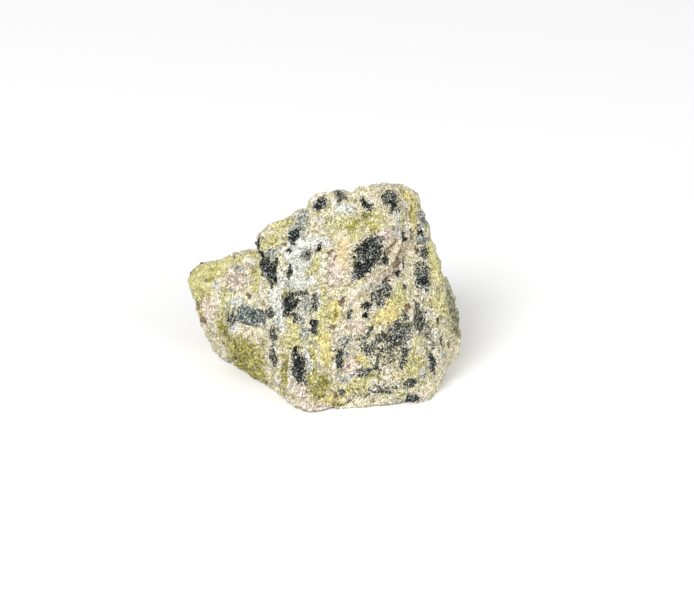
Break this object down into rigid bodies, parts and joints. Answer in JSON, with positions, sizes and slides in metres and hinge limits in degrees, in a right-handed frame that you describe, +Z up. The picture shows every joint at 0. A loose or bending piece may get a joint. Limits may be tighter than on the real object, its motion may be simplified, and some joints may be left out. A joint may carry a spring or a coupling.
{
  "type": "raw serpentine stone",
  "caption": "Natural lump of raw mottled serpentine with broken faces, a lower wing on its left and a flat broken base that it stands on.",
  "frame": {"origin": "on the resting face, under the middle of the stone's bounding box", "axes": "+Z up, +X across towards the stone's right, -Y towards the front that the picture shows"},
  "size_m": [0.0454, 0.033, 0.0303],
  "materials": {
    "serpentine": "rough broken stone, mottled, waxy to chalky"
  },
  "bodies": {
    "root": {"stone": "serpentine"}
  },
  "joints": []
}
